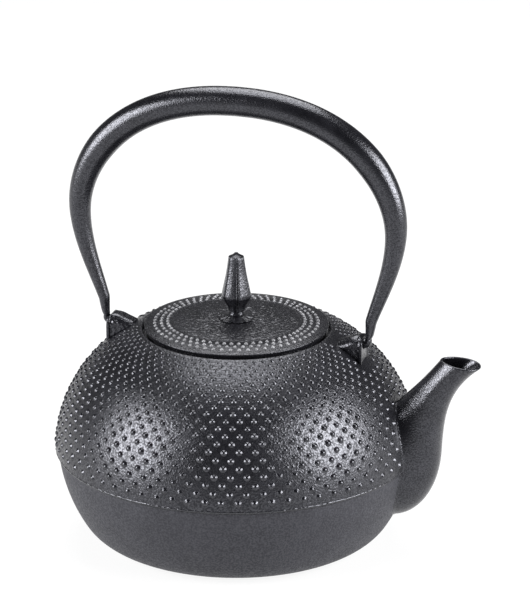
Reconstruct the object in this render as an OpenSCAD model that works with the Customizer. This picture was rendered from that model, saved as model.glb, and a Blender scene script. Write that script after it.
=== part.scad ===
// Cast iron teapot with a studded dome, a bail handle, a knobbed lid and a lift-out strainer.
// Millimetres. The base stands on z = 0, the pot's axis is Z, and the spout points along +X.

/* [Pot] */
// Radius of the belly at its widest
belly_r = 91.3; // [90.5:0.1:92.5]
// Height of the belly's widest level
belly_z = 42; // [41:0.5:43]
// Height of the parting seam between bowl and dome
seam_z = 44.5; // [43.5:0.5:45.5]
// Radius at which the underside turns flat
base_r = 60; // [58:0.5:61]
// Thickness of the iron wall
wall = 3.2; // [3:0.1:3.5]

/* [Mouth and lid] */
// Radius of the lid
lid_r = 46; // [45:0.5:46.5]
// Height of the lid's rim
lid_top_z = 109.8; // [109.4:0.1:110]
// Rise of the lid's crowned top from its rim to its middle
lid_rise = 2.7; // [2.4:0.1:2.9]
// Thickness of the lid
lid_t = 4; // [3.5:0.1:4.2]
// Ring gap between the lid and the pot
lid_gap = 0.7; // [0.5:0.1:0.9]
// Radius of the opening under the lid
opening_r = 40.5; // [40:0.1:41]

/* [Knob] */
// Radius of the knob at its widest
knob_r = 7.2; // [6.5:0.1:7.5]
// Height of the knob above its washer
knob_h = 33; // [32:0.5:36]
// Radius of the petal washer
washer_r = 8.7; // [8:0.1:9.5]

/* [Handle] */
// Height of the handle's centreline at its top
arch_z = 224.3; // [220:0.1:228]
// Half of the handle's widest span, centre to centre
arch_x = 80.9; // [80:0.1:82]
// Thickness of the handle over the arch
arch_d = 14.5; // [13.5:0.1:15.5]
// Thickness of the handle where it joins the hooks
arm_d = 5.7; // [5.5:0.1:5.8]

/* [Lugs] */
// Height of the handle's hinge axis
hinge_z = 105.5; // [105:0.1:106]
// Distance from the pot's axis to a lug's outer face
lug_x = 66; // [65.8:0.1:66.2]
// Width of a lug
lug_w = 14.1; // [13.5:0.1:14.5]
// Radius of the hook's pin
pin_r = 2.05; // [1.95:0.01:2.1]
// Clearance round the pin in its hole
pin_gap = 0.07; // [0.05:0.01:0.1]

/* [Spout] */
// Half width of the spout's root inside the wall
root_w = 20.5; // [19:0.5:21]
// Half width of the mouth
mouth_w = 8.1; // [7.5:0.1:8.5]
// Radius of the passage through the pot's wall
passage_r = 11; // [9:0.5:11]

/* [Strainer] */
// Depth of the strainer below its rim
strainer_h = 58; // [50:1:58]
// Thickness of the strainer's steel
steel_t = 0.8; // [0.6:0.1:0.8]

/* [Hidden] */
$fn = 96;

iron = "#303136";
dull_iron = "#3c3d42";
steel = "silver";

// Shoulder arc of the dome, then a flatter crown arc tangent to it
shoulder_r = 71.3;
crown_r = 146.7;
crown_a = 58.5;
shoulder_c = [belly_r - shoulder_r, belly_z];
crown_c = tangent_centre(shoulder_c, shoulder_r, crown_r, crown_a);

// Heel arc of the bowl, tangent to the base plane, then a flatter flank arc tangent to it
heel_r = 21.5;
flank_r = 79.6;
heel_a = -31.5;
heel_c = [base_r, heel_r];
flank_c = tangent_centre(heel_c, heel_r, flank_r, heel_a);
flank_top_a = asin((seam_z - flank_c[1]) / flank_r);

// The dome's bottom edge is chamfered above the seam
chamfer_h = 1.6;
chamfer_in = 1.1;
dome_inner_a = 66;
past = 1;

// Mouth: a lip outside the lid, a ledge for the strainer's rim, and a collar under the ledge
lip_w = 1.5;
seat_gap = 0.3;
lid_z = lid_top_z - lid_t;
rim_z = lid_z - seat_gap;
ledge_z = rim_z - steel_t;
collar_h = 5;
recess_r = lid_r + lid_gap;
lip_r = recess_r + lip_w;
lip_z = crown_c[1] + sqrt(crown_r * crown_r - (lip_r - crown_c[0]) * (lip_r - crown_c[0]));
lip_a = asin((lip_z - crown_c[1]) / crown_r);

// Locating skirt, pin and washers of the lid
skirt_r = 37.2;
skirt_t = 2.4;
skirt_h = 7;
skirt_in = skirt_r - skirt_t;
lid_edge = 0.8;
lid_heel = 0.5;
pad_r = 10;
pad_z = lid_top_z + lid_rise;
crown_w = lid_r - lid_edge - pad_r;
lid_arc_r = (crown_w * crown_w + lid_rise * lid_rise) / (2 * lid_rise);
lid_arc_c = [pad_r, pad_z - lid_arc_r];
washer_h = 1.5;
petal_r = 2.6;
petal_h = 1;
stem_r = 1.5;
stem_gap = 0.05;
stem_up = 9;
rivet_t = 1.2;
rivet_head = 1;
pin_end_gap = 0.2;
rivet_r = 4.5;
knob_z = pad_z + washer_h;

// Knob: a collar, a neck, a flare up to the widest level, a long taper and a low cone
knob_collar_r = 3.9;
knob_neck_r = 3.4;
knob_neck_z = 2.2;
knob_wide_z = 11;
knob_shoulder_r = 3.85;
knob_shoulder_z = knob_h - 2.4;
knob_tip_r = 0.8;
knob_turn = -8;
flutes = 6;
flute_depth = 0.16;

// Strainer
strainer_r = 39.2;
strainer_foot_r = 36.5;
strainer_rim_r = 45.6;
strainer_hole_r = 1.2;
strainer_pitch = 8;
strainer_z = ledge_z - strainer_h;

// Hook: the arm's end passes outside the lug's face and turns inwards into a pin
hook_z = 117;
hook_x = 68.95;
hook_gap = 0.25;
hook_in_x = lug_x + hook_gap;
hook_t = 3;
heel_over = 0.4;
pin_l = 6.6;
pin_root = 0.5;

// Lug: a hood whose face plate, and a band along its crown, stand proud of its sides
crown_rise = 4.2;
lug_crown_r = 8;
crown_slope = 22;
crown_back_x = 50;
nose_r = 3;
arch_corner_r = 4.8;
lug_foot_z = 85;
plate_t = 1.5;
side_drop = 0.8;
band_w = 8.4;
face_recess = 0.4;
face_margin = 1.1;
hole_l = 7.4;
sink_h = 1.1;

// Spout: lower edge, upper ridge and half width, each a pair of cubic curves from root to mouth
spout_low = [[79, 17.2], [93, 15.5], [104.5, 31], [105.4, 52], [106.3, 70], [107.5, 85], [124.4, 98.2]];
spout_top = [[78, 71], [80.5, 73.5], [82.5, 76.5], [86.5, 80.5], [92.5, 86.5], [98, 92.5], [104.1, 100.6]];
spout_half = [root_w, 17.5, 13, 11, 9, 7.9, mouth_w];
spout_wall_root = 3.4;
spout_wall_mouth = 1.5;
mouth_egg = 0.16;
root_egg = -0.1;
passage_z = 58;

function tangent_centre(c, r, big_r, a) = [c[0] - (big_r - r) * cos(a), c[1] - (big_r - r) * sin(a)];

function arc(c, r, a0, a1, n) =
    [for (i = [0:n]) let (a = a0 + (a1 - a0) * i / n) [c[0] + r * cos(a), c[1] + r * sin(a)]];

function cubic(p, t) =
    let (s = 1 - t) s * s * s * p[0] + 3 * s * s * t * p[1] + 3 * s * t * t * p[2] + t * t * t * p[3];

// Two cubics end to end: p holds seven values, and t runs from 0 to 2
function two_cubics(p, t) =
    t <= 1 ? cubic([p[0], p[1], p[2], p[3]], t) : cubic([p[3], p[4], p[5], p[6]], t - 1);

// A closed solid through a list of rings that all have the same number of points
module skin(rings) {
    n = len(rings[0]);
    m = len(rings);
    points = [for (ring = rings) each ring];
    sides = [for (i = [0:m - 2], j = [0:n - 1]) let (k = (j + 1) % n) each [
        [i * n + j, (i + 1) * n + j, (i + 1) * n + k],
        [i * n + j, (i + 1) * n + k, i * n + k]
    ]];
    start = [[for (j = [0:n - 1]) j]];
    finish = [[for (j = [n - 1:-1:0]) (m - 1) * n + j]];
    polyhedron(points = points, faces = concat(sides, start, finish), convexity = 6);
}

// ---- Pot ----

function bowl_line(inset) = concat(
    arc(heel_c, heel_r - inset, -90, heel_a, 12),
    arc(flank_c, flank_r - inset, heel_a, flank_top_a, 10)
);

function dome_line(inset, a0, a1) = concat(
    arc(shoulder_c, shoulder_r - inset, a0, crown_a, 22),
    arc(crown_c, crown_r - inset, crown_a, a1, 4)
);

dome_start_a = asin((seam_z + chamfer_h - belly_z) / shoulder_r);

// The whole body as a solid of revolution, for trimming what is joined to its outside
module body_solid() {
    rotate_extrude()
        polygon(concat([[0, 0]], bowl_line(0), dome_line(0, dome_start_a, lip_a), [[0, lip_z]]));
}

module lower_bowl() {
    color(dull_iron)
        difference() {
            rotate_extrude()
                polygon(concat([[0, 0]], bowl_line(0), [[0, seam_z]]));
            rotate_extrude()
                polygon(concat([[0, wall]], bowl_line(wall), [[0, seam_z + past]]));
        }
}

module dome_outside() {
    seam_r = belly_r - chamfer_in;
    rotate_extrude()
        polygon(concat([[0, seam_z], [seam_r, seam_z]], dome_line(0, dome_start_a, lip_a), [[0, lip_z]]));
}

module dome_inside() {
    inner_start_a = asin((seam_z - belly_z) / (shoulder_r - wall));
    rotate_extrude()
        polygon(concat(
            [[0, seam_z - past], [belly_r - wall, seam_z - past]],
            dome_line(wall, inner_start_a, dome_inner_a),
            [[0, lip_z - wall]]
        ));
}

module mouth_collar() {
    translate([0, 0, ledge_z - collar_h])
        cylinder(r = recess_r + wall, h = collar_h);
}

module upper_dome() {
    color(iron)
        difference() {
            union() {
                difference() {
                    dome_outside();
                    dome_inside();
                }
                intersection() {
                    mouth_collar();
                    dome_outside();
                }
            }
            translate([0, 0, ledge_z])
                cylinder(r = recess_r, h = lid_t + collar_h);
            translate([0, 0, ledge_z - 2 * collar_h])
                cylinder(r = opening_r, h = 3 * collar_h);
            translate([belly_r / 2, 0, passage_z])
                rotate([0, 90, 0])
                    cylinder(r = passage_r, h = belly_r);
        }
}

// ---- Spout ----

// One ring of the spout, t from 0 at the root to 2 at the mouth, drawn in by the given thickness
function spout_ring(t, inset, n) =
    let (
        low = two_cubics(spout_low, t),
        top = two_cubics(spout_top, t),
        long = norm(low - top),
        mid = (low + top) / 2,
        half = (low - top) / 2 * (1 - 2 * inset / long),
        w = two_cubics(spout_half, t) - inset,
        egg = root_egg + (mouth_egg - root_egg) * t / 2
    )
    [for (i = [0:n - 1]) let (a = 360 * i / n)
        [mid[0] + half[0] * cos(a), w * sin(a) * (1 + egg * cos(a)), mid[1] + half[1] * cos(a)]];

module spout() {
    rings = 26;
    sides = 32;
    outside = [for (i = [0:rings]) spout_ring(2 * i / rings, 0, sides)];
    last = spout_ring(2, spout_wall_mouth, sides);
    inside = concat(
        [for (i = [0:rings]) let (t = 2 * i / rings)
            spout_ring(t, spout_wall_root + (spout_wall_mouth - spout_wall_root) * t / 2, sides)],
        [[for (p = last) p + [0.2, 0, 2]]]
    );
    color(iron)
        difference() {
            skin(outside);
            skin(inside);
            body_solid();
        }
}

// ---- Lugs ----

// Outline of a lug seen along X, grown by the given amount
module lug_arch(grow) {
    w = lug_w / 2 + grow;
    r = arch_corner_r + grow;
    top = hinge_z + crown_rise + grow;
    polygon(concat(
        [[-w, lug_foot_z], [w, lug_foot_z]],
        arc([w - r, top - r], r, 0, 90, 10),
        arc([r - w, top - r], r, 90, 180, 10)
    ));
}

// Outline of a lug seen along Y: a crown that slopes down to the pot, with a round outer nose
module lug_side(grow) {
    top = hinge_z + crown_rise;
    nose_x = lug_x - nose_r;
    crown = arc([nose_x, top - lug_crown_r], lug_crown_r + grow, 90, 90 + crown_slope, 6);
    back = crown[6] - (crown[6][0] - crown_back_x) * [1, tan(crown_slope)];
    polygon(concat(
        [[crown_back_x, lug_foot_z], [lug_x + grow, lug_foot_z]],
        arc([nose_x, top - nose_r], nose_r + grow, 0, 90, 8),
        crown,
        [back]
    ));
}

module along_x(length) {
    rotate([90, 0, 90])
        linear_extrude(length)
            children();
}

// The hood between two distances from the pot's axis, grown by the given amount
module hood(x0, x1, grow) {
    intersection() {
        translate([x0, 0, 0])
            along_x(x1 - x0)
                lug_arch(grow);
        translate([0, lug_w, 0])
            rotate([90, 0, 0])
                linear_extrude(2 * lug_w)
                    lug_side(grow);
    }
}

module crown_band() {
    intersection() {
        hood(0, lug_x, 0);
        translate([0, -band_w / 2, lug_foot_z])
            cube([lug_x, band_w, hinge_z]);
    }
}

module lug() {
    hole_r = pin_r + pin_gap;
    color(iron)
        difference() {
            union() {
                hood(0, lug_x - plate_t / 2, -side_drop);
                hood(lug_x - plate_t, lug_x, 0);
                crown_band();
            }
            translate([lug_x - face_recess, 0, 0])
                along_x(face_recess + past)
                    lug_arch(-face_margin);
            body_solid();
            translate([lug_x - hole_l, 0, hinge_z])
                rotate([0, 90, 0])
                    cylinder(r = hole_r, h = hole_l + past);
            translate([lug_x - face_recess - sink_h, 0, hinge_z])
                rotate([0, 90, 0])
                    cylinder(r1 = hole_r, r2 = pin_r + sink_h, h = sink_h + 0.01);
        }
}

module front_lug() {
    lug();
}

module rear_lug() {
    mirror([1, 0, 0])
        lug();
}

// ---- Handle ----

arch_top = [[0, arch_z], [60, arch_z], [arch_x, 188], [arch_x, 164]];
arch_arm = [[arch_x, 164], [arch_x, 147], [73, 130], [hook_x, hook_z]];

// Centre of the handle at t, from 0 at the top to 2 at the hook
function arch_point(t) = t <= 1 ? cubic(arch_top, t) : cubic(arch_arm, t - 1);

// The handle thickens steadily over this height above the hooks
taper_h = 80;

function arch_thickness(z) = max(arm_d, min(arch_d, arm_d + (z - hook_z) * (arch_d - arm_d) / taper_h));

// A round ring square to the handle's centreline
function arch_ring(t, n) =
    let (
        p = arch_point(t),
        q = arch_point(min(2, t + 0.01)) - arch_point(max(0, t - 0.01)),
        u = t == 0 ? [1, 0] : q / norm(q),
        r = arch_thickness(p[1]) / 2
    )
    [for (i = [0:n - 1]) let (a = 360 * i / n)
        [p[0] - u[1] * r * cos(a), r * sin(a), p[1] + u[0] * r * cos(a)]];

module handle_arch() {
    steps = 30;
    sides = 24;
    front = [for (i = [0:steps]) arch_ring(2 * i / steps, sides)];
    rear = [for (i = [steps:-1:1]) [for (p = front[i]) [-p[0], p[1], p[2]]]];
    color(iron)
        skin(concat(rear, front));
}

// ---- Hooks ----

// Ring between an inner and an outer point in the XZ plane, with a half width across it
function hook_ring(inner, outer, w, n) =
    [for (i = [0:n - 1]) let (a = 360 * i / n, m = (inner + outer) / 2, h = (outer - inner) / 2)
        [m[0] - h[0] * cos(a), w * sin(a), m[1] - h[1] * cos(a)]];

module hook() {
    sides = 24;
    u = arch_point(2) - arch_point(1.99);
    end_r = arm_d / 2;
    n = [-u[1], u[0]] / norm(u);
    end_w = pin_r + heel_over;
    face = [hook_in_x, hinge_z];
    pivot = face + [0, end_w];
    end = [hook_x, hook_z];
    rings = concat(
        [
            hook_ring(end - n * end_r, end + n * end_r, end_r, sides),
            hook_ring(face + [-0.05, 9.6], face + [5, 8.6], 2.8, sides),
            hook_ring(face + [0, 7.6], face + [4.5, 6.4], 2.7, sides),
            hook_ring(face + [0, 5.2], face + [4, 4.4], 2.6, sides),
            hook_ring(face + [0, 3.8], face + [3.5, 3.3], 2.5, sides)
        ],
        [for (i = [0:6]) let (a = 90 * i / 6, reach = hook_t + (2 * end_w - hook_t) * i / 6)
            hook_ring(pivot, pivot + reach * [cos(a), -sin(a)], end_w, sides)]
    );
    color(iron)
        union() {
            skin(rings);
            translate([hook_in_x - pin_l, 0, hinge_z])
                rotate([0, 90, 0])
                    cylinder(r = pin_r, h = pin_l + pin_root);
        }
}

module front_hook() {
    hook();
}

module rear_hook() {
    mirror([1, 0, 0])
        hook();
}

// ---- Strainer ----

module strainer_rim() {
    color(steel)
        translate([0, 0, ledge_z])
            difference() {
                cylinder(r = strainer_rim_r, h = steel_t);
                translate([0, 0, -past])
                    cylinder(r = strainer_r, h = steel_t + 2 * past);
            }
}

module strainer_wall() {
    rows = 6;
    columns = 24;
    cutter_l = 8;
    inner_foot_r = strainer_foot_r - steel_t;
    z0 = strainer_z + strainer_pitch;
    color(steel)
        difference() {
            translate([0, 0, strainer_z])
                cylinder(r1 = strainer_foot_r, r2 = strainer_r, h = strainer_h + steel_t);
            translate([0, 0, strainer_z])
                cylinder(r1 = inner_foot_r, r2 = strainer_r - steel_t, h = strainer_h + steel_t);
            for (i = [0:rows - 1], j = [0:columns - 1])
                rotate((j + 0.5 * (i % 2)) * 360 / columns)
                    translate([strainer_foot_r - 3, 0, z0 + i * strainer_pitch])
                        rotate([0, 90, 0])
                            cylinder(r = strainer_hole_r, h = cutter_l);
        }
}

module strainer_bottom() {
    reach = 3;
    color(steel)
        translate([0, 0, strainer_z])
            difference() {
                cylinder(r = strainer_foot_r - steel_t, h = steel_t);
                for (i = [-reach:reach], j = [-reach:reach])
                    translate([i * strainer_pitch, (j + 0.5 * abs(i % 2)) * strainer_pitch, -past])
                        cylinder(r = strainer_hole_r, h = steel_t + 2 * past);
            }
}

// ---- Lid ----

module lid_plate() {
    rim_a = acos(crown_w / lid_arc_r);
    hollow_a = acos((skirt_in - pad_r) / (lid_arc_r - lid_t));
    color(iron)
        difference() {
            rotate_extrude()
                polygon(concat(
                    [
                        [0, pad_z - lid_t], [pad_r, pad_z - lid_t]
                    ],
                    arc(lid_arc_c, lid_arc_r - lid_t, 90, hollow_a, 8),
                    [
                        [skirt_in, lid_z], [lid_r - lid_heel, lid_z], [lid_r, lid_z + lid_heel],
                        [lid_r, lid_top_z - lid_edge]
                    ],
                    arc(lid_arc_c, lid_arc_r, rim_a, 90, 10),
                    [[0, pad_z]]
                ));
            translate([0, 0, lid_z])
                cylinder(r = stem_r + stem_gap, h = lid_t + lid_rise + past);
        }
}

module lid_skirt() {
    color(iron)
        translate([0, 0, lid_z - skirt_h])
            difference() {
                cylinder(r = skirt_r, h = skirt_h);
                translate([0, 0, -past])
                    cylinder(r = skirt_in, h = skirt_h + 2 * past);
            }
}

module knob_washer() {
    petals = 8;
    base_r = washer_r - petal_r;
    color(iron)
        difference() {
            union() {
                translate([0, 0, pad_z])
                    cylinder(r1 = base_r + 1, r2 = knob_collar_r, h = washer_h);
                for (i = [0:petals - 1])
                    rotate(360 * i / petals)
                        translate([base_r, 0, pad_z])
                            cylinder(r1 = petal_r, r2 = petal_r - 0.5, h = petal_h);
            }
            translate([0, 0, pad_z - past])
                cylinder(r = stem_r + stem_gap, h = washer_h + 2 * past);
        }
}

function knob_radius(z) =
    z < 1.5 ? knob_collar_r
    : z < knob_neck_z ? knob_neck_r
    : z < knob_wide_z
        ? knob_neck_r + (knob_r - knob_neck_r) * (z - knob_neck_z) / (knob_wide_z - knob_neck_z)
    : z < knob_shoulder_z
        ? knob_r + (knob_shoulder_r - knob_r) * (z - knob_wide_z) / (knob_shoulder_z - knob_wide_z)
    : knob_shoulder_r + (knob_tip_r - knob_shoulder_r) * (z - knob_shoulder_z) / (knob_h - knob_shoulder_z);

// A round ring below the neck, and above it rounded flutes with grooves between them
function knob_ring(z, n) =
    let (depth = z < knob_neck_z ? 0 : flute_depth)
    [for (i = [0:n - 1])
        let (a = 360 * i / n, r = knob_radius(z) * (1 - depth * pow(abs(cos(flutes / 2 * a)), 6)))
        [r * cos(a), r * sin(a), z]];

module knob() {
    sides = 48;
    levels = [
        0, 1.4, 1.6, knob_neck_z, 4, 7, knob_wide_z - 1, knob_wide_z, 15, 20, 25,
        knob_shoulder_z, knob_h
    ];
    color(iron)
        translate([0, 0, knob_z])
            difference() {
                rotate(knob_turn)
                    skin([for (i = [len(levels) - 1:-1:0]) knob_ring(levels[i], sides)]);
                translate([0, 0, -past])
                    cylinder(r = stem_r + stem_gap, h = stem_up + past);
            }
}

module knob_pin() {
    low_z = pad_z - lid_t - rivet_t - rivet_head;
    color(dull_iron)
        translate([0, 0, low_z])
            cylinder(r = stem_r, h = knob_z + stem_up - pin_end_gap - low_z);
}

module pin_washer() {
    color(dull_iron)
        translate([0, 0, pad_z - lid_t - rivet_t])
            difference() {
                cylinder(r = rivet_r, h = rivet_t);
                translate([0, 0, -past])
                    cylinder(r = stem_r + stem_gap, h = rivet_t + 2 * past);
            }
}

lower_bowl();
upper_dome();
spout();
front_lug();
rear_lug();
handle_arch();
front_hook();
rear_hook();
strainer_rim();
strainer_wall();
strainer_bottom();
lid_plate();
lid_skirt();
knob_washer();
knob();
knob_pin();
pin_washer();
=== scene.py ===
"""Looks of the cast iron teapot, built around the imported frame. Metres; +X is the spout's side."""
import math
import random

import bmesh
import bpy
import numpy as np
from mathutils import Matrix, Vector, noise


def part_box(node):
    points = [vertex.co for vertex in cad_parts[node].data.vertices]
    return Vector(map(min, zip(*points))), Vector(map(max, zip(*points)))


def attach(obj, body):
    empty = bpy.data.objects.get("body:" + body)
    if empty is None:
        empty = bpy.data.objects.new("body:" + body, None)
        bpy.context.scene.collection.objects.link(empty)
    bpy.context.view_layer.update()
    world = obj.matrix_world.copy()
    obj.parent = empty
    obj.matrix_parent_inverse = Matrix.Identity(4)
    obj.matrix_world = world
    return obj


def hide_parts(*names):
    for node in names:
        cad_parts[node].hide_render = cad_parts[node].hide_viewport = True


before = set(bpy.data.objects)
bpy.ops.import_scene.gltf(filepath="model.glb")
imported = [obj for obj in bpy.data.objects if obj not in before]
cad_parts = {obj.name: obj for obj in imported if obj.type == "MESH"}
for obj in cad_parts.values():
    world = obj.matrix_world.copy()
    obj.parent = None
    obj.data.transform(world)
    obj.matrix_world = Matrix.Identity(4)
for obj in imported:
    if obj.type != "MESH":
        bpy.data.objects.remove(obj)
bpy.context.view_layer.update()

MM = 0.001

# ---- Sizes read from the frame ----
BELLY_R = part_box("upper_dome")[1][0]
SEAM_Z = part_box("upper_dome")[0][2]
LID_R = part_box("lid_plate")[1][0]
PAD_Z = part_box("lid_plate")[1][2]
LID_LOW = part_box("lid_plate")[0][2]
KNOB_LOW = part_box("knob")[0][2]
WASHER_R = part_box("knob_washer")[1][0]
HINGE_Z = 105.5 * MM
LUG_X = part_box("front_lug")[1][0]
LUG_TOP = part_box("front_lug")[1][2]

# ---- Arcs of the body, as in the part's source ----
WALL = 3.2 * MM
BASE_R = 60 * MM
BELLY_Z = 42 * MM
SHOULDER_R = 71.3 * MM
CROWN_R = 146.7 * MM
CROWN_A = math.radians(58.5)
HEEL_R = 21.5 * MM
FLANK_R = 79.6 * MM
HEEL_A = math.radians(-31.5)


def tangent_centre(c, r, big_r, a):
    """Centre of a larger arc that touches the arc (c, r) at angle a."""
    return (c[0] - (big_r - r) * math.cos(a), c[1] - (big_r - r) * math.sin(a))


SHOULDER_C = (BELLY_R - SHOULDER_R, BELLY_Z)
CROWN_C = tangent_centre(SHOULDER_C, SHOULDER_R, CROWN_R, CROWN_A)
HEEL_C = (BASE_R, HEEL_R)
FLANK_C = tangent_centre(HEEL_C, HEEL_R, FLANK_R, HEEL_A)
CROWN_START_Z = SHOULDER_C[1] + SHOULDER_R * math.sin(CROWN_A)
HEEL_END_Z = HEEL_C[1] + HEEL_R * math.sin(HEEL_A)


def arc(c, r, a0, a1, n):
    """Points (radius, height) along an arc, angles in radians."""
    turn = [a0 + (a1 - a0) * i / n for i in range(n + 1)]
    return [(c[0] + r * math.cos(a), c[1] + r * math.sin(a)) for a in turn]


def dome_radius(z):
    if z < CROWN_START_Z:
        return SHOULDER_C[0] + math.sqrt(max(SHOULDER_R**2 - (z - SHOULDER_C[1]) ** 2, 0))
    return CROWN_C[0] + math.sqrt(max(CROWN_R**2 - (z - CROWN_C[1]) ** 2, 0))


def bowl_radius(z):
    if z > HEEL_END_Z:
        return FLANK_C[0] + math.sqrt(max(FLANK_R**2 - (z - FLANK_C[1]) ** 2, 0))
    return HEEL_C[0] + math.sqrt(max(HEEL_R**2 - (z - HEEL_C[1]) ** 2, 0))


def body_radius(z):
    """Outer radius of the pot, eased over the small step at the seam."""
    ease = min(1, max(0, (z - SEAM_Z) / (2.5 * MM)))
    return bowl_radius(z) * (1 - ease) + dome_radius(z) * ease


# ---- Mesh helpers ----

SAME_POINT = 0.004 * MM


def make_mesh(name, verts, faces, sharp=None):
    mesh = bpy.data.meshes.new(name)
    mesh.from_pydata([tuple(v) for v in verts], [], faces)
    mesh.validate()
    mesh.update()
    mesh.shade_smooth()
    if sharp is not None:
        mesh.set_sharp_from_angle(angle=math.radians(sharp))
    obj = bpy.data.objects.new(name, mesh)
    bpy.context.scene.collection.objects.link(obj)
    return obj


def revolve(name, outline, steps, closed, sharp=None):
    """Turns an outline of (radius, height) about Z. Its right-hand side is the outside."""
    verts, rings, faces = [], [], []
    for r, z in outline:
        if r < 1e-7:
            rings.append([len(verts)] * steps)
            verts.append((0, 0, z))
            continue
        rings.append(list(range(len(verts), len(verts) + steps)))
        for k in range(steps):
            a = 2 * math.pi * k / steps
            verts.append((r * math.cos(a), r * math.sin(a), z))
    pairs = list(zip(rings, rings[1:]))
    if closed:
        pairs.append((rings[-1], rings[0]))
    for low, high in pairs:
        for k in range(steps):
            m = (k + 1) % steps
            face = [low[k], low[m], high[m], high[k]]
            corners = [v for i, v in enumerate(face) if v not in face[:i]]
            if len(corners) > 2:
                faces.append(corners)
    return make_mesh(name, verts, faces, sharp)


def skin(name, rings, cap_start=True, cap_end=True, join=False, sharp=None):
    """A surface through rings of equal length; join ties the last ring to the first."""
    n = len(rings[0])
    verts = [p for ring in rings for p in ring]
    faces = []
    count = len(rings)
    for i in range(count if join else count - 1):
        a, b = i * n, ((i + 1) % count) * n
        faces += [(a + j, b + j, b + (j + 1) % n, a + (j + 1) % n) for j in range(n)]
    if cap_start and not join:
        faces.append(tuple(range(n)))
    if cap_end and not join:
        faces.append(tuple((count - 1) * n + j for j in reversed(range(n))))
    return make_mesh(name, verts, faces, sharp)


def outward(obj):
    """Joins points that fall together and makes every face point out of the closed mesh."""
    bm = bmesh.new()
    bm.from_mesh(obj.data)
    bmesh.ops.remove_doubles(bm, verts=bm.verts, dist=SAME_POINT)
    bmesh.ops.recalc_face_normals(bm, faces=bm.faces)
    bm.to_mesh(obj.data)
    bm.free()
    obj.data.update()


def apply_modifiers(obj):
    """Puts the result of the object's modifiers into its mesh."""
    graph = bpy.context.evaluated_depsgraph_get()
    graph.update()
    mesh = bpy.data.meshes.new_from_object(obj.evaluated_get(graph))
    obj.modifiers.clear()
    obj.data = mesh
    mesh.shade_smooth()


def push_by_noise(obj, size, depth, seed, where=None):
    """Moves vertices along their normals by a smooth noise of the given grain size."""
    mesh = obj.data
    shift = Vector((seed, 1.7 * seed, 0.3 * seed))
    normals = [v.normal.copy() for v in mesh.vertices]
    for v, n in zip(mesh.vertices, normals):
        if where is None or where(v.co):
            v.co += n * depth * noise.noise(v.co / size + shift)
    mesh.update()


# ---- Materials ----


class Tree:
    """A small helper that adds nodes and links to a material."""

    def __init__(self, name):
        self.mat = bpy.data.materials.new(name)
        self.mat.use_nodes = True
        self.nodes = self.mat.node_tree.nodes
        self.links = self.mat.node_tree.links
        self.shader = self.nodes["Principled BSDF"]
        self.coord = self.nodes.new("ShaderNodeTexCoord").outputs["Object"]

    def link(self, a, b):
        self.links.new(a, b)

    def noise(self, size, detail=3.0, rough=0.55, stretch=None):
        """Noise with a grain of about the given size in metres."""
        node = self.nodes.new("ShaderNodeTexNoise")
        node.inputs["Scale"].default_value = 1 / size
        node.inputs["Detail"].default_value = detail
        node.inputs["Roughness"].default_value = rough
        source = self.coord
        if stretch:
            mapping = self.nodes.new("ShaderNodeMapping")
            mapping.inputs["Scale"].default_value = stretch
            self.link(source, mapping.inputs["Vector"])
            source = mapping.outputs["Vector"]
        self.link(source, node.inputs["Vector"])
        return node.outputs["Fac"]

    def ramp(self, value, low, high, a, b):
        """Maps value from low..high to a..b, without going past them."""
        node = self.nodes.new("ShaderNodeMapRange")
        node.inputs["From Min"].default_value = low
        node.inputs["From Max"].default_value = high
        node.inputs["To Min"].default_value = a
        node.inputs["To Max"].default_value = b
        self.link(value, node.inputs["Value"])
        return node.outputs["Result"]

    def blend_colours(self, value, a, b):
        node = self.nodes.new("ShaderNodeMix")
        node.data_type = "RGBA"
        node.inputs["A"].default_value = (*a, 1)
        node.inputs["B"].default_value = (*b, 1)
        self.link(value, node.inputs["Factor"])
        return node.outputs["Result"]

    def bump(self, height, depth, strength, below=None):
        node = self.nodes.new("ShaderNodeBump")
        node.inputs["Distance"].default_value = depth
        node.inputs["Strength"].default_value = strength
        self.link(height, node.inputs["Height"])
        if below is not None:
            self.link(below, node.inputs["Normal"])
        return node.outputs["Normal"]


def cast_iron(name, dark, light, rough, grain, depth, shine=(0.3, 0.9), metal=0.0):
    """Blackened cast iron: a sandy skin over broader waves, shinier on its grains than between them."""
    t = Tree(name)
    patches = t.noise(9 * MM, 3, 0.6)
    fine = t.noise(grain, 2, 0.5)
    waves = t.noise(grain * 4, 2, 0.5)
    tone = t.ramp(patches, 0.35, 0.68, 0, 1)
    t.link(t.blend_colours(tone, dark, light), t.shader.inputs["Base Color"])
    t.link(t.ramp(fine, 0.62, 0.38, *rough), t.shader.inputs["Roughness"])
    t.link(t.ramp(fine, 0.4, 0.62, *shine), t.shader.inputs["Specular IOR Level"])
    normal = t.bump(waves, depth, 0.5)
    normal = t.bump(fine, depth, 1.0, normal)
    t.link(normal, t.shader.inputs["Normal"])
    t.shader.inputs["Specular Tint"].default_value = (0.9, 0.91, 1, 1)
    t.shader.inputs["Metallic"].default_value = metal
    return t.mat


def brushed_steel(name):
    t = Tree(name)
    lines = t.noise(0.5 * MM, 2, 0.6, stretch=(1, 1, 14))
    t.link(t.blend_colours(lines, (0.42, 0.42, 0.43), (0.66, 0.66, 0.67)), t.shader.inputs["Base Color"])
    t.link(t.ramp(lines, 0.3, 0.7, 0.2, 0.38), t.shader.inputs["Roughness"])
    t.link(t.bump(lines, 0.02 * MM, 0.4), t.shader.inputs["Normal"])
    t.shader.inputs["Metallic"].default_value = 1.0
    return t.mat


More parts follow.
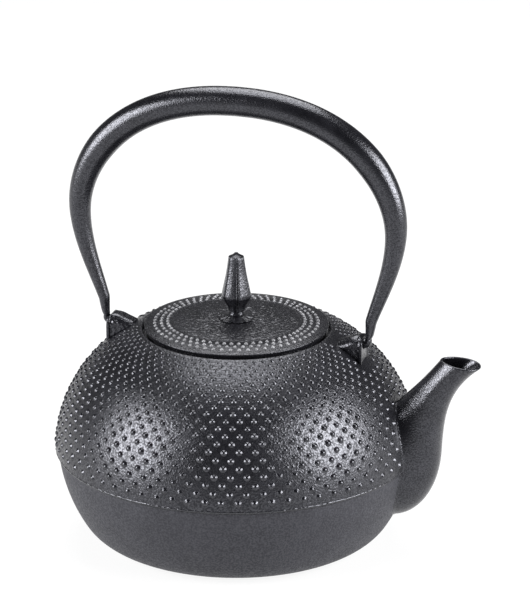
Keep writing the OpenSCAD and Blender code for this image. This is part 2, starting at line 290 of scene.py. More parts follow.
DOME_IRON = cast_iron(
    "dome_iron", (0.003, 0.003, 0.004), (0.007, 0.007, 0.009), (0.22, 0.42), 0.95 * MM, 0.2 * MM, (0.4, 1.0)
)
STUD_IRON = cast_iron(
    "stud_iron", (0.003, 0.003, 0.004), (0.006, 0.006, 0.008), (0.13, 0.26), 0.9 * MM, 0.08 * MM, (0.6, 1.0)
)
BOWL_IRON = cast_iron(
    "bowl_iron", (0.022, 0.022, 0.026), (0.028, 0.028, 0.033), (0.5, 0.68), 0.9 * MM, 0.16 * MM, (0.3, 0.6)
)
SMOOTH_IRON = cast_iron(
    "smooth_iron", (0.003, 0.003, 0.004), (0.008, 0.008, 0.01), (0.15, 0.3), 0.7 * MM, 0.11 * MM, (0.45, 1.0)
)
LID_IRON = cast_iron(
    "lid_iron", (0.004, 0.004, 0.005), (0.008, 0.008, 0.01), (0.2, 0.34), 0.8 * MM, 0.17 * MM, (0.35, 0.9)
)
# The lid's dots get a paler base colour than the skin round them, a painted highlight for the light they
# catch, and they are shinier
PAINTED_HIGHLIGHT_DOT_IRON = cast_iron(
    "painted_highlight_dot_iron", (0.18, 0.18, 0.19), (0.27, 0.27, 0.28), (0.24, 0.36), 0.9 * MM, 0.05 * MM, (0.7, 1.0),
    metal=0.4,
)
PIN_IRON = cast_iron("pin_iron", (0.03, 0.03, 0.032), (0.06, 0.06, 0.062), (0.4, 0.6), 1.0 * MM, 0.1 * MM)
STEEL = brushed_steel("strainer_steel")


def dress(obj, material, body, slot, *nodes):
    """Gives a new piece its material and body, and hides the CAD nodes that it stands for; slot is not used.
    """
    obj.data.materials.clear()
    obj.data.materials.append(material)
    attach(obj, body)
    if nodes:
        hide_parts(*nodes)


# ---- Pot: bowl and dome ----


def make_bowl():
    top_a = math.asin((SEAM_Z - FLANK_C[1]) / FLANK_R)
    inner_r = FLANK_R - WALL
    inner_a = math.asin((SEAM_Z - FLANK_C[1]) / inner_r)
    outline = [(0, 0)]
    outline += arc(HEEL_C, HEEL_R, -math.pi / 2, HEEL_A, 24)
    outline += arc(FLANK_C, FLANK_R, HEEL_A, top_a, 22)[1:]
    outline += arc(FLANK_C, inner_r, inner_a, HEEL_A, 18)
    outline += arc(HEEL_C, HEEL_R - WALL, HEEL_A, -math.pi / 2, 14)[1:]
    outline += [(0, WALL)]
    obj = revolve("pot_bowl", outline, 224, False, sharp=40)
    outward(obj)
    dress(obj, BOWL_IRON, "pot", "bowl_iron", "lower_bowl")


LEDGE_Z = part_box("strainer_rim")[0][2]
LID_GAP = 0.7 * MM
LIP_W = 1.5 * MM
RECESS_R = LID_R + LID_GAP
LIP_R = RECESS_R + LIP_W
OPENING_R = 40.5 * MM
COLLAR_H = 5 * MM
LIP_Z = CROWN_C[1] + math.sqrt(CROWN_R**2 - (LIP_R - CROWN_C[0]) ** 2)
PASSAGE_Z = 58 * MM
PASSAGE_R = 11 * MM
PASSAGE_SIDES = 48
DOME_SHARP = 38
RAGGED_H = 1.2 * MM
RAGGED_DEPTH = 0.3 * MM
RAGGED_GRAIN = 1.8 * MM
BURR_R = 0.5 * MM
BURR_IN = 0.45 * MM
BURR_UP = 1.25 * MM


def make_dome():
    lip_a = math.asin((LIP_Z - CROWN_C[1]) / CROWN_R)
    edge_r = 0.7 * MM
    chamfer_z = SEAM_Z + 1.6 * MM
    start_a = math.asin((chamfer_z - BELLY_Z) / SHOULDER_R)
    inner_start = math.asin((SEAM_Z - BELLY_Z) / (SHOULDER_R - WALL))
    collar_r = RECESS_R + WALL
    collar_a = math.acos((collar_r - CROWN_C[0]) / (CROWN_R - WALL))
    outline = [(BELLY_R - 1.15 * MM, SEAM_Z), (BELLY_R - 0.8 * MM, SEAM_Z + 0.25 * MM)]
    outline += [(BELLY_R - 0.35 * MM, SEAM_Z + 0.8 * MM)]
    outline += arc(SHOULDER_C, SHOULDER_R, start_a, CROWN_A, 56)
    outline += arc(CROWN_C, CROWN_R, CROWN_A, lip_a, 12)[1:-1]
    outline += arc((LIP_R - 0.35 * MM, LIP_Z - 0.35 * MM), 0.35 * MM, math.radians(60), math.pi / 2, 3)
    outline += arc((RECESS_R + edge_r, LIP_Z - edge_r), edge_r, math.pi / 2, math.pi, 5)
    outline += [(RECESS_R, LEDGE_Z), (OPENING_R, LEDGE_Z), (OPENING_R, LEDGE_Z - COLLAR_H)]
    outline += [(collar_r, LEDGE_Z - COLLAR_H)]
    outline += arc(CROWN_C, CROWN_R - WALL, collar_a, CROWN_A, 8)
    outline += arc(SHOULDER_C, SHOULDER_R - WALL, CROWN_A, inner_start, 30)[1:]
    obj = revolve("pot_dome", outline, 256, True, sharp=DOME_SHARP)
    outward(obj)
    # The seam's edge is a little ragged, as a mould joint leaves it
    for v in obj.data.vertices:
        if v.co.z < SEAM_Z + RAGGED_H and math.hypot(v.co.x, v.co.y) > BELLY_R - 2 * MM:
            swell = RAGGED_DEPTH * (noise.noise(v.co / RAGGED_GRAIN) + 0.5)
            v.co.xy *= 1 + swell / BELLY_R
    turns = [2 * math.pi * k / PASSAGE_SIDES for k in range(PASSAGE_SIDES)]
    circle = [(PASSAGE_R * math.cos(a), PASSAGE_Z + PASSAGE_R * math.sin(a)) for a in turns]
    cutter = skin("cutter", [[(x, y, z) for y, z in circle] for x in (BELLY_R / 2, BELLY_R * 1.2)])
    outward(cutter)
    hole = obj.modifiers.new("hole", "BOOLEAN")
    hole.operation = "DIFFERENCE"
    hole.object = cutter
    apply_modifiers(obj)
    bpy.data.objects.remove(cutter)
    outward(obj)
    obj.data.set_sharp_from_angle(angle=math.radians(DOME_SHARP))
    dress(obj, DOME_IRON, "pot", "dome_iron", "upper_dome")


def make_burr():
    """The ragged line that the mould joint leaves on the dome's lower edge."""
    steps, sides = 900, 8
    rings = []
    for k in range(steps):
        a = 2 * math.pi * k / steps
        at = Vector((math.cos(a), math.sin(a), 0))
        ragged = noise.noise(at * BELLY_R / (1.6 * MM))
        size = BURR_R * (1 + 0.45 * ragged + 0.3 * noise.noise(at * BELLY_R / (0.7 * MM)))
        centre = at * (BELLY_R - BURR_IN) + Vector((0, 0, SEAM_Z + BURR_UP + BURR_R / 2 * ragged))
        turn = [2 * math.pi * j / sides for j in range(sides)]
        rings.append([centre + at * size * math.cos(b) + Vector((0, 0, size * math.sin(b))) for b in turn])
    obj = skin("seam_burr", rings, join=True)
    outward(obj)
    dress(obj, STUD_IRON, "pot", "dome_iron")


# ---- Studs of the dome ----

STUDS_ROUND = 70
FIRST_ROW = 5.5 * MM
ROW_STEP = 0.515
STUD_TURN = 0.69
STUD_TWIST = 0.018
# A stud's radius over its ring's pitch, and its height over its radius
STUD_R = 0.165
STUD_H = 0.66
# Half outline of a stud, as (radius, height) over its own radius and height, with a soft foot
STUD_LINE = [(1.5, -0.12), (1.16, 0.06), (0.92, 0.36), (0.66, 0.72), (0.34, 0.94)]


def stud_rows():
    """Radius and height of each row: about half a ring pitch from the last, along the dome."""
    rows = []
    z = SEAM_Z + FIRST_ROW
    while True:
        r = dome_radius(z)
        if r < LIP_R + 1.6 * MM:
            return rows
        rows.append((r, z))
        slope = (dome_radius(z + 0.1 * MM) - dome_radius(z - 0.1 * MM)) / (0.2 * MM)
        z += ROW_STEP * 2 * math.pi * r / STUDS_ROUND / math.hypot(1, slope)


def add_bump(verts, faces, at, normal, radius, height, line, sides):
    """Adds one small round bump that stands along the normal."""
    side = normal.cross(Vector((0, 0, 1)))
    side = side.normalized() if side.length > 1e-6 else Vector((1, 0, 0))
    other = normal.cross(side)
    first = len(verts)
    for lr, lh in line:
        for k in range(sides):
            a = 2 * math.pi * k / sides
            verts.append(at + (side * math.cos(a) + other * math.sin(a)) * lr * radius + normal * lh * height)
    for i in range(len(line) - 1):
        for k in range(sides):
            m = (k + 1) % sides
            faces.append((first + i * sides + k, first + i * sides + m, first + (i + 1) * sides + m,
                          first + (i + 1) * sides + k))
    verts.append(at + normal * height)
    top = len(verts) - 1
    last = first + (len(line) - 1) * sides
    faces += [(last + k, last + (k + 1) % sides, top) for k in range(sides)]
    faces.append(tuple(first + k for k in reversed(range(sides))))


def near_lug(p):
    return abs(p.x) > 47 * MM and abs(p.y) < 8.3 * MM and p.z > 93 * MM


def make_studs():
    rng = random.Random(7)
    verts, faces = [], []
    for row, (r, z) in enumerate(stud_rows()):
        slope = (dome_radius(z + 0.1 * MM) - dome_radius(z - 0.1 * MM)) / (0.2 * MM)
        pitch = 2 * math.pi * r / STUDS_ROUND
        for k in range(STUDS_ROUND):
            a = 2 * math.pi * (k + 0.5 * (row % 2) + STUD_TURN + STUD_TWIST * row) / STUDS_ROUND
            a += rng.uniform(-0.025, 0.025) * pitch / r
            dz = rng.uniform(-0.02, 0.02) * pitch
            size = rng.uniform(0.94, 1.07)
            at = Vector((r * math.cos(a), r * math.sin(a), z + dz))
            if near_lug(at) or on_spout_root(at):
                continue
            n = Vector((math.cos(a), math.sin(a), -slope)).normalized()
            radius = STUD_R * pitch * size
            add_bump(verts, faces, at, n, radius, STUD_H * radius * size, STUD_LINE, 10)
    obj = make_mesh("dome_studs", verts, faces)
    dress(obj, STUD_IRON, "pot", "dome_iron")


# ---- Spout ----

SPOUT_LOW = [(79, 17.2), (93, 15.5), (104.5, 31), (105.4, 52), (106.3, 70), (107.5, 85), (124.4, 98.2)]
SPOUT_TOP = [(78, 71), (80.5, 73.5), (82.5, 76.5), (86.5, 80.5), (92.5, 86.5), (98, 92.5), (104.1, 100.6)]
SPOUT_HALF = [20.5, 17.5, 13, 11, 9, 7.9, 8.1]
SPOUT_WALL = (3.4, 1.3)
SPOUT_EGG = (-0.1, 0.16)
SPOUT_SIDES = 112


def two_cubics(p, t):
    """Two cubic curves end to end through seven values; t runs from 0 to 2."""
    p = np.array(p, float)
    q, s = (p[:4], t) if t <= 1 else (p[3:], t - 1)
    k = 1 - s
    return k**3 * q[0] + 3 * k * k * s * q[1] + 3 * k * s * s * q[2] + s**3 * q[3]


def spout_points(t, inset):
    """One ring of the spout, in metres, drawn in by a number of millimetres."""
    low, top = two_cubics(SPOUT_LOW, t), two_cubics(SPOUT_TOP, t)
    half = (low - top) / 2 * (1 - 2 * inset / np.linalg.norm(low - top))
    mid = (low + top) / 2
    w = two_cubics(SPOUT_HALF, t) - inset
    egg = SPOUT_EGG[0] + (SPOUT_EGG[1] - SPOUT_EGG[0]) * t / 2
    a = np.arange(SPOUT_SIDES) * 2 * math.pi / SPOUT_SIDES
    ring = [mid[0] + half[0] * np.cos(a), w * np.sin(a) * (1 + egg * np.cos(a)), mid[1] + half[1] * np.cos(a)]
    return np.array(ring).T * MM


def wall_at(t):
    return SPOUT_WALL[0] + (SPOUT_WALL[1] - SPOUT_WALL[0]) * t / 2


def gap_to_body(points):
    """How far each point stands outside the pot."""
    return np.array([math.hypot(x, y) - body_radius(z) for x, y, z in points])


def spout_table(inset_of):
    ts = np.linspace(0, 2, 241)
    rings = np.array([spout_points(t, inset_of(t)) for t in ts])
    gaps = np.array([gap_to_body(ring) for ring in rings])
    return ts, rings, gaps


def spout_starts(gaps, ts, sink):
    """For each line along the spout, the t at which it dips the given depth into the pot."""
    starts = []
    for j in range(SPOUT_SIDES):
        inside = np.nonzero(gaps[:, j] < -sink)[0]
        i = inside[-1] if len(inside) else 0
        g0, g1 = gaps[i, j] + sink, gaps[i + 1, j] + sink
        starts.append(ts[i] + (ts[i + 1] - ts[i]) * (g0 / (g0 - g1) if g1 != g0 else 0))
    return np.array(starts)


def spout_rings(inset_of, sink, count, ease):
    """Rings that start on the pot's surface and end at the mouth."""
    ts, _, gaps = spout_table(inset_of)
    starts = spout_starts(gaps, ts, sink)
    fine = np.linspace(0, 2, 401)
    table = np.array([spout_points(t, inset_of(t)) for t in fine])
    rings = []
    for s in np.linspace(0, 1, count) ** ease:
        t = starts + (2 - starts) * s
        at = t / 2 * (len(fine) - 1)
        i = np.minimum(at.astype(int), len(fine) - 2)
        f = (at - i)[:, None]
        j = np.arange(SPOUT_SIDES)
        rings.append(table[i, j] * (1 - f) + table[i + 1, j] * f)
    return rings


FILLET_W = 1.6 * MM
FILLET_H = 0.45 * MM


def flare(ring):
    """Widens a ring where it is close to the pot, as a cast fillet does."""
    gap = np.clip(gap_to_body(ring), 0, FILLET_W)
    centre = ring.mean(axis=0)
    out = ring - centre
    out[:, 0] = 0
    out /= np.maximum(np.linalg.norm(out, axis=1), 1e-9)[:, None]
    return ring + out * (FILLET_H * (1 - gap / FILLET_W) ** 2)[:, None]


def make_spout():
    outer = [flare(ring) for ring in spout_rings(lambda t: 0, 0.5 * MM, 84, 1.35)]
    wall = wall_at(2)
    edge = two_cubics(SPOUT_LOW, 2) - two_cubics(SPOUT_TOP, 2)
    up = np.array([-edge[1], 0, edge[0]]) / np.linalg.norm(edge)
    lip = []
    for k in range(1, 8):
        a = math.pi * k / 8
        lip.append(spout_points(2, wall / 2 * (1 - math.cos(a))) + up * wall / 2 * math.sin(a) * MM)
    inner = spout_rings(wall_at, 0.2 * MM, 60, 1.2)[::-1]
    obj = skin("spout_body", [list(map(tuple, r)) for r in outer + lip + inner], join=True)
    outward(obj)
    dress(obj, SMOOTH_IRON, "pot", "smooth_iron", "spout")
    return outer[0]


def root_outline():
    """The spout's root on the pot, as (angle round Z, height) points."""
    ts, _, gaps = spout_table(lambda t: 0)
    starts = spout_starts(gaps, ts, 0.0)
    points = [spout_points(t, 0)[j] for j, t in enumerate(starts)]
    return [(math.atan2(p[1], p[0]), p[2]) for p in points]


ROOT = root_outline()


def on_spout_root(p):
    """True where a stud would stand on the spout's root or its fillet."""
    if p.x < 0 or abs(p.y) > 24 * MM:
        return False
    margin = 1.7 * MM
    widths = [abs(a) * BELLY_R for a, z in ROOT if abs(z - p.z) < 1.6 * MM]
    top = max(z for _, z in ROOT)
    if p.z > top + margin:
        return False
    reach = max(widths) if widths else 0.0
    return abs(math.atan2(p.y, p.x)) * BELLY_R < reach + margin


# ---- Lugs ----


def cast_copy(name, node, voxel, rounds):
    """A copy of a CAD node with its edges softened as a casting's are."""
    obj = bpy.data.objects.new(name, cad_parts[node].data.copy())
    bpy.context.scene.collection.objects.link(obj)
    remesh = obj.modifiers.new("remesh", "REMESH")
    remesh.mode = "VOXEL"
    remesh.voxel_size = voxel
    remesh.use_smooth_shade = True
    soften = obj.modifiers.new("soften", "SMOOTH")
    soften.iterations = rounds
    soften.factor = 0.5
    apply_modifiers(obj)
    return obj




def settle(obj, where, rounds):
    """Evens out the surface at the vertices that the test picks."""
    bm = bmesh.new()
    bm.from_mesh(obj.data)
    picked = [v for v in bm.verts if where(v.co)]
    for _ in range(rounds):
        bmesh.ops.smooth_vert(bm, verts=picked, factor=0.5, use_axis_x=True, use_axis_y=True, use_axis_z=True)
    bm.to_mesh(obj.data)
    bm.free()
    obj.data.update()


def round_crown(obj, across, down):
    """Arches a lug's top: its long edges become quarter ellipses, smaller ones close to its face."""
    xs = np.array([abs(v.co.x) for v in obj.data.vertices])
    spots = np.arange(xs.min(), xs.max() + 0.1 * MM, 0.8 * MM)
    tops, widths = [], []
    for x in spots:
        near = [v.co for v in obj.data.vertices if abs(abs(v.co.x) - x) < 0.6 * MM]
        top = max(p.z for p in near)
        tops.append(top)
        widths.append(max(abs(p.y) for p in near if p.z > top - 7 * MM))
    for v in obj.data.vertices:
        x = abs(v.co.x)
        top, width = np.interp(x, spots, tops), np.interp(x, spots, widths)
        ease = min(1, max(0.15, (LUG_X - 0.8 * MM - x) / (2 * MM)))
        w, h = across * ease, down * ease
        out = Vector(((abs(v.co.y) - (width - w)) / w, (v.co.z - (top - h)) / h))
        if out.x > 0 and out.y > 0 and out.length > 1:
            out.normalize()
            v.co.y = math.copysign(width - w + out.x * w, v.co.y)
            v.co.z = top - h + out.y * h
    obj.data.update()
    settle(obj, lambda p: abs(p.x) < LUG_X - 1.6 * MM, 14)


def make_lug(name, node, seed, smooth_h, across, down):
    """A lug with rounded upper edges, rough as cast below a smooth stretch of the given height."""
    obj = cast_copy(name, node, 0.22 * MM, 5)
    round_crown(obj, across, down)

    def panel(p):
        return abs(p.y) > 4.4 * MM and abs(p.x) < LUG_X - 1.5 * MM and p.z < LUG_TOP - smooth_h

    push_by_noise(obj, 1.3 * MM, 0.2 * MM, seed, panel)
    push_by_noise(obj, 0.6 * MM, 0.09 * MM, seed + 1, panel)
    push_by_noise(obj, 0.8 * MM, 0.03 * MM, seed + 3)
    dress(obj, SMOOTH_IRON, "pot", "dome_iron", node)


# ---- Handle ----

ARCH_TOP = [(0, 224.3), (60, 224.3), (80.9, 188), (80.9, 164)]
ARCH_ARM = [(80.9, 164), (80.9, 147), (73, 130), (68.95, 117)]
ARCH_D, ARM_D = 14.5, 5.7
HOOK_Z = 117.0
PIN_R = 2.05
HEEL_W = PIN_R + 0.4
HOOK_T = 3.0
HANDLE_SIDES = 40


def arch_station(t):
    """Inner and outer point of the handle's section, and its half width, in millimetres."""
    curve = ARCH_TOP if t <= 1 else ARCH_ARM
    s = t if t <= 1 else t - 1

    def at(s):
        k = 1 - s
        p = np.array(curve, float)
        return k**3 * p[0] + 3 * k * k * s * p[1] + 3 * k * s * s * p[2] + s**3 * p[3]

    u = at(min(1, s + 0.005)) - at(max(0, s - 0.005))
    u /= np.linalg.norm(u)
    c = at(s)
    thick = ARM_D + (c[1] - HOOK_Z) * (ARCH_D - ARM_D) / 80
    r = min(ARCH_D, max(ARM_D, thick)) / 2
    n = np.array([-u[1], u[0]])
    return (c - n * r, c + n * r, r)


def hook_stations():
    face = np.array([LUG_X / MM + 0.25, HINGE_Z / MM])
    pivot = face + (0, HEEL_W)
    out = [
        (face + (-0.05, 9.6), face + (5, 8.6), 2.8),
        (face + (0, 7.6), face + (4.5, 6.4), 2.7),
        (face + (0, 5.2), face + (4, 4.4), 2.6),
        (face + (0, 3.8), face + (3.5, 3.3), 2.5),
    ]
    for i in range(13):
        a = math.pi / 2 * i / 12
        reach = HOOK_T + (2 * HEEL_W - HOOK_T) * i / 12
        out.append((pivot, pivot + reach * np.array([math.cos(a), -math.sin(a)]), HEEL_W))
    return out


def smooth_line(stations, steps):
    """Catmull-Rom through the stations, so the handle flows into its hooks."""
    data = np.array([np.concatenate([a, b, [w]]) for a, b, w in stations])
    out = []
    for i in range(len(data) - 1):
        p0, p1, p2, p3 = data[max(i - 1, 0)], data[i], data[i + 1], data[min(i + 2, len(data) - 1)]
        for k in range(steps):
            s = k / steps
            out.append(0.5 * (2 * p1 + (p2 - p0) * s + (2 * p0 - 5 * p1 + 4 * p2 - p3) * s * s
                              + (3 * p1 - p0 - 3 * p2 + p3) * s**3))
    out.append(data[-1])
    return out


def handle_ring(row, side):
    inner, outer, w = row[0:2], row[2:4], row[4]
    m, h = (inner + outer) / 2, (outer - inner) / 2
    ring = []
    for k in range(HANDLE_SIDES):
        a = 2 * math.pi * k / HANDLE_SIDES
        p = (side * (m[0] - h[0] * math.cos(a)), w * math.sin(a), m[1] - h[1] * math.cos(a))
        ring.append(tuple(c * MM for c in p))
    return ring


def pin_ring(x, r, side):
    ring = []
    for k in range(HANDLE_SIDES):
        a = 2 * math.pi * k / HANDLE_SIDES
        ring.append((side * x * MM, r * math.sin(a) * MM, HINGE_Z + r * math.cos(a) * MM))
    return ring


def make_handle():
    stations = [arch_station(2 * i / 36) for i in range(37)] + hook_stations()
    rows = smooth_line(stations, 3)
    x = LUG_X / MM + 0.25
    pin = [(x, PIN_R), (x - 3, PIN_R), (x - 6.2, PIN_R), (x - 6.6, PIN_R - 0.4)]
    front = [handle_ring(row, 1) for row in rows] + [pin_ring(px, pr, 1) for px, pr in pin]
    rear = [handle_ring(row, -1) for row in rows[1:]] + [pin_ring(px, pr, -1) for px, pr in pin]
    obj = skin("bail_handle", rear[::-1] + front, sharp=50)
    outward(obj)
    dress(obj, SMOOTH_IRON, "handle", "smooth_iron", "handle_arch", "front_hook", "rear_hook")


# ---- Lid ----

DOT_ROWS = [40.7, 37.35, 34.2]
DOTS_ROUND = 60
DOT_R, DOT_H = 0.88 * MM, 0.58 * MM
# Half outline of a lid dot: rounder on top than a stud
DOT_LINE = [(1.25, -0.2), (1.02, 0.1), (0.86, 0.46), (0.64, 0.76), (0.34, 0.94)]
FIELD_R = 32.2 * MM
STEM_R = 1.5 * MM
LID_RISE = 2.7 * MM
LID_T = 4 * MM
PAD_R = 10 * MM
SKIRT_IN = 34.8 * MM
CROWN_W = LID_R - 0.8 * MM - PAD_R
LID_ARC_R = (CROWN_W**2 + LID_RISE**2) / (2 * LID_RISE)
LID_EDGE_R = 0.35 * MM
FIELD_DROP = 0.22 * MM
FIELD_RINGS = 74
CREASE_SIZE, CREASE_DEPTH = 2.2 * MM, 0.32 * MM
GRAIN_SIZE, GRAIN_DEPTH = 0.9 * MM, 0.16 * MM


def lid_height(r):
    """Height of the lid's top at a radius: a flat pad for the knob, then a low crown."""
    return PAD_Z - LID_ARC_R + math.sqrt(LID_ARC_R**2 - max(0, r - PAD_R) ** 2)


def make_lid():
    rim_z = lid_height(LID_R - LID_EDGE_R)
    outline = [(r, lid_height(r) - LID_T) for r in (STEM_R, PAD_R, 16 * MM, 22 * MM, 28 * MM, SKIRT_IN)]
    outline += [(SKIRT_IN, LID_LOW), (LID_R - 1.6 * MM, LID_LOW), (LID_R - 1.3 * MM, LID_LOW + 0.4 * MM)]
    outline += arc((LID_R - LID_EDGE_R, rim_z - LID_EDGE_R), LID_EDGE_R, math.radians(-20), math.pi / 2, 6)
    outline += [(r, lid_height(r)) for r in (LID_R - 3 * MM, LID_R - 8 * MM, FIELD_R + 0.5 * MM)]
    field = [FIELD_R + (STEM_R - FIELD_R) * i / FIELD_RINGS for i in range(FIELD_RINGS + 1)]
    outline += [(r, lid_height(r) - FIELD_DROP) for r in field]
    obj = revolve("lid_disc", outline, 288, True, sharp=50)
    outward(obj)
    for v in obj.data.vertices:
        r = math.hypot(v.co.x, v.co.y)
        if STEM_R + 0.1 * MM < r < FIELD_R - 0.1 * MM and v.co.z > lid_height(r) - 1 * MM:
            fade = min(1, (FIELD_R - r) / (2 * MM))
            q = Vector((v.co.x, v.co.y, 0))
            crease = 0.2 - abs(noise.noise(q / CREASE_SIZE))
            v.co.z += fade * (CREASE_DEPTH * crease + GRAIN_DEPTH * noise.noise(q / GRAIN_SIZE))
    obj.data.update()
    dress(obj, LID_IRON, "lid", "lid_iron", "lid_plate")


def make_lid_dots():
    rng = random.Random(11)
    verts, faces = [], []
    for row, r in enumerate(DOT_ROWS):
        for k in range(DOTS_ROUND):
            a = 2 * math.pi * (k + 0.5 * (row % 2)) / DOTS_ROUND
            size = rng.uniform(0.92, 1.08)
            at = Vector((r * MM * math.cos(a), r * MM * math.sin(a), lid_height(r * MM)))
            tilt = math.asin((r * MM - PAD_R) / LID_ARC_R)
            up = Vector((math.sin(tilt) * math.cos(a), math.sin(tilt) * math.sin(a), math.cos(tilt)))
            add_bump(verts, faces, at, up, DOT_R * size, DOT_H * size, DOT_LINE, 12)
    obj = make_mesh("lid_dots", verts, faces)
    # The dots' paler iron is a painted highlight
    dress(obj, PAINTED_HIGHLIGHT_DOT_IRON, "lid", "lid_iron")


# Knob's silhouette: height above the washer in mm, radius in mm, and how deep its grooves are there
KNOB_LINE = [
    (0.0, 3.5, 0), (0.35, 3.85, 0), (1.1, 3.9, 0), (1.6, 3.75, 0), (2.1, 3.4, 0.2), (3.0, 3.8, 0.7),
    (5.2, 4.6, 1), (7.3, 5.7, 1), (9.4, 6.85, 1), (10.3, 7.15, 1), (11.2, 7.2, 1), (12.4, 7.0, 1),
    (15.7, 6.35, 1), (21, 5.25, 1), (26.3, 4.4, 1), (30.2, 3.9, 1), (30.8, 3.5, 0.8), (31.4, 2.5, 0.3),
    (31.9, 1.7, 0.1), (32.4, 1.1, 0), (32.8, 0.75, 0), (33.0, 0.3, 0),
]
KNOB_TURN = math.radians(-7.5)
GROOVE_DEPTH = 0.15
GROOVE_A = math.radians(8)
PETAL_FLAT = 0.5


def knob_reach(a, grooved):
    """Radius factor round the knob: six nearly flat petals with a sharp groove at each joint."""
    off = abs((a - KNOB_TURN) % (math.pi / 3) - math.pi / 6)
    near = max(0, 1 - (math.pi / 6 - off) / GROOVE_A)
    flat = PETAL_FLAT * (1 / math.cos(off) - 1)
    return (1 + grooved * flat) * (1 - GROOVE_DEPTH * grooved * near**1.4)


def make_knob():
    sides = 240
    rows = smooth_line([(np.array([z, r]), np.array([g, 0]), 0) for z, r, g in KNOB_LINE], 4)
    rings = []
    for row in rows:
        z, r, g = row[0], row[1], min(1, max(0, row[2]))
        ring = []
        for k in range(sides):
            a = 2 * math.pi * k / sides
            reach = r * knob_reach(a, g) * MM
            ring.append((reach * math.cos(a), reach * math.sin(a), KNOB_LOW + z * MM))
        rings.append(ring)
    obj = skin("lid_knob", rings)
    outward(obj)
    push_by_noise(obj, 1.2 * MM, 0.04 * MM, 5)
    dress(obj, SMOOTH_IRON, "lid", "smooth_iron", "knob")


# Petal washer: distance from its axis over its radius, and height above the lid in mm
WASHER_LINE = [
    (0.2, 0.05), (0.9, 0.05), (0.97, 0.15), (1.0, 0.35), (0.98, 0.52), (0.9, 0.68), (0.76, 0.9),
    (0.62, 1.2), (0.52, 1.5), (0.46, 1.6), (0.2, 1.6),
]
WASHER_PETALS = 8


def make_washer():
    sides = 160
    rows = smooth_line([(np.array([r, z]), np.array([0, 0]), 0) for r, z in WASHER_LINE], 3)
    rings = []
    for row in rows:
        ring = []
        for k in range(sides):
            a = 2 * math.pi * k / sides
            notch = (1 - abs(math.sin(WASHER_PETALS / 2 * a))) ** 3
            outer = max(0, (row[0] - 0.5) / 0.5)
            r = WASHER_R * row[0] * (1 - 0.13 * notch * outer)
            z = PAD_Z + (row[1] - (0.3 * notch * min(1, outer * 2) if row[1] > 0.4 else 0)) * MM
            ring.append((r * math.cos(a), r * math.sin(a), z))
        rings.append(ring)
    obj = skin("petal_washer", rings)
    outward(obj)
    dress(obj, LID_IRON, "lid", "lid_iron", "knob_washer")


# ---- CAD nodes that stay ----


def dress_frame_nodes():
    for node, material in {
        "lid_skirt": LID_IRON,
        "knob_pin": PIN_IRON,
        "pin_washer": PIN_IRON,
        "strainer_rim": STEEL,
        "strainer_wall": STEEL,
        "strainer_bottom": STEEL,
    }.items():
        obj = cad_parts[node]
        obj.data.materials.clear()
        obj.data.materials.append(material)


# ---- Camera, floor and light ----

CAMERA_AZIMUTH = math.radians(16.1)
CAMERA_ELEVATION = math.radians(19.7)
CAMERA_DISTANCE = 1.7
CAMERA_LENS = 205
AIM_HEIGHT = 112 * MM
AIM_RIGHT, AIM_UP = 14.25 * MM, 9.25 * MM


def make_camera():
    ca, sa = math.cos(CAMERA_AZIMUTH), math.sin(CAMERA_AZIMUTH)
    ce, se = math.cos(CAMERA_ELEVATION), math.sin(CAMERA_ELEVATION)
    back = Vector((sa * ce, -ca * ce, se))
    right = Vector((ca, sa, 0))
    up = back.cross(right)
    target = Vector((0, 0, AIM_HEIGHT))
    data = bpy.data.cameras.new("camera")
    data.lens = CAMERA_LENS
    data.sensor_width = 36
    data.clip_end = 50
    camera = bpy.data.objects.new("camera", data)
    camera.location = target + back * CAMERA_DISTANCE
    aim = target + right * AIM_RIGHT + up * AIM_UP
    camera.rotation_euler = (aim - camera.location).to_track_quat("-Z", "Y").to_euler()
    bpy.context.scene.collection.objects.link(camera)
    bpy.context.scene.camera = camera


def make_floor():
    verts = [(-9, -9, 0), (9, -9, 0), (9, 9, 0), (-9, 9, 0)]
    floor = make_mesh("floor", verts, [(0, 1, 2, 3)])
    t = Tree("pale_floor")
    cloud = t.noise(0.3, 2, 0.5)
    t.link(t.blend_colours(cloud, (0.1, 0.1, 0.102), (0.12, 0.12, 0.12)), t.shader.inputs["Base Color"])
    t.shader.inputs["Roughness"].default_value = 0.8
    t.shader.inputs["Specular IOR Level"].default_value = 0.2
    away = t.nodes.new("ShaderNodeVectorMath")
    away.operation = "LENGTH"
    t.link(t.coord, away.inputs[0])
    t.shader.inputs["Emission Color"].default_value = (1, 1, 1, 1)
    t.link(t.ramp(away.outputs["Value"], 1.5, 4, 0.88, 0.2), t.shader.inputs["Emission Strength"])
    floor.data.materials.append(t.mat)


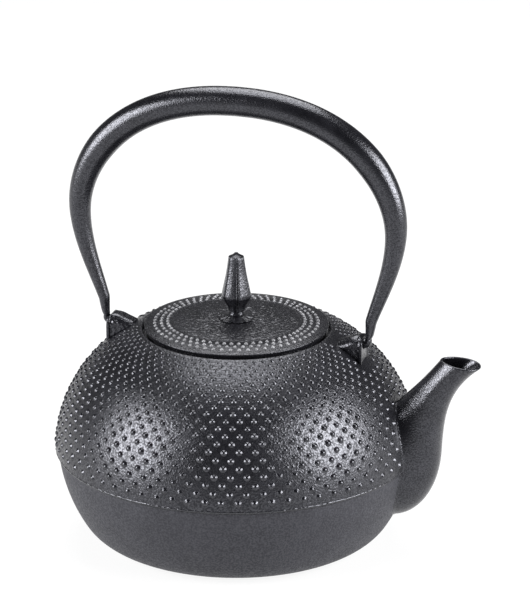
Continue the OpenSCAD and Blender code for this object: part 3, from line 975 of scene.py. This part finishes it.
def soft_box(name, turn, elevation, distance, width, height, power):
    """A rectangular light that faces the pot, turned from the camera's own direction."""
    a = CAMERA_AZIMUTH - math.pi / 2 + math.radians(turn)
    e = math.radians(elevation)
    at = Vector((math.cos(a) * math.cos(e), math.sin(a) * math.cos(e), math.sin(e))) * distance
    data = bpy.data.lights.new(name, "AREA")
    data.shape = "RECTANGLE"
    data.size, data.size_y = width, height
    data.energy = power
    light = bpy.data.objects.new(name, data)
    light.location = at + Vector((0, 0, 70 * MM))
    light.rotation_euler = (-at).to_track_quat("-Z", "Y").to_euler()
    bpy.context.scene.collection.objects.link(light)


def make_world():
    """A pale studio that darkens overhead."""
    world = bpy.data.worlds.new("studio")
    world.use_nodes = True
    nodes, links = world.node_tree.nodes, world.node_tree.links
    coord = nodes.new("ShaderNodeTexCoord")
    split = nodes.new("ShaderNodeSeparateXYZ")
    ramp = nodes.new("ShaderNodeValToRGB")
    links.new(coord.outputs["Generated"], split.inputs["Vector"])
    links.new(split.outputs["Z"], ramp.inputs["Fac"])
    stops = ramp.color_ramp.elements
    stops[0].position, stops[0].color = 0.0, (0.5, 0.5, 0.52, 1)
    stops[1].position, stops[1].color = 0.35, (0.12, 0.12, 0.13, 1)
    links.new(ramp.outputs["Color"], nodes["Background"].inputs["Color"])
    nodes["Background"].inputs["Strength"].default_value = 0.4
    bpy.context.scene.world = world


def make_studio():
    make_floor()
    make_world()
    soft_box("box_left", -70, 20.5, 1.2, 0.8, 0.8, 24)
    soft_box("box_right", 68, 22.5, 1.2, 0.9, 0.8, 29)
    soft_box("box_top", 180, 69, 1.3, 0.9, 1.3, 20)
    view = bpy.context.scene.view_settings
    view.view_transform = "Standard"


make_camera()
make_bowl()
make_dome()
make_burr()
make_spout()
make_studs()
make_lug("lug_front", "front_lug", 2, 6 * MM, 6.6 * MM, 4.6 * MM)
make_lug("lug_rear", "rear_lug", 9, 3 * MM, 4.6 * MM, 4.6 * MM)
make_handle()
make_lid()
make_lid_dots()
make_knob()
make_washer()
dress_frame_nodes()
make_studio()
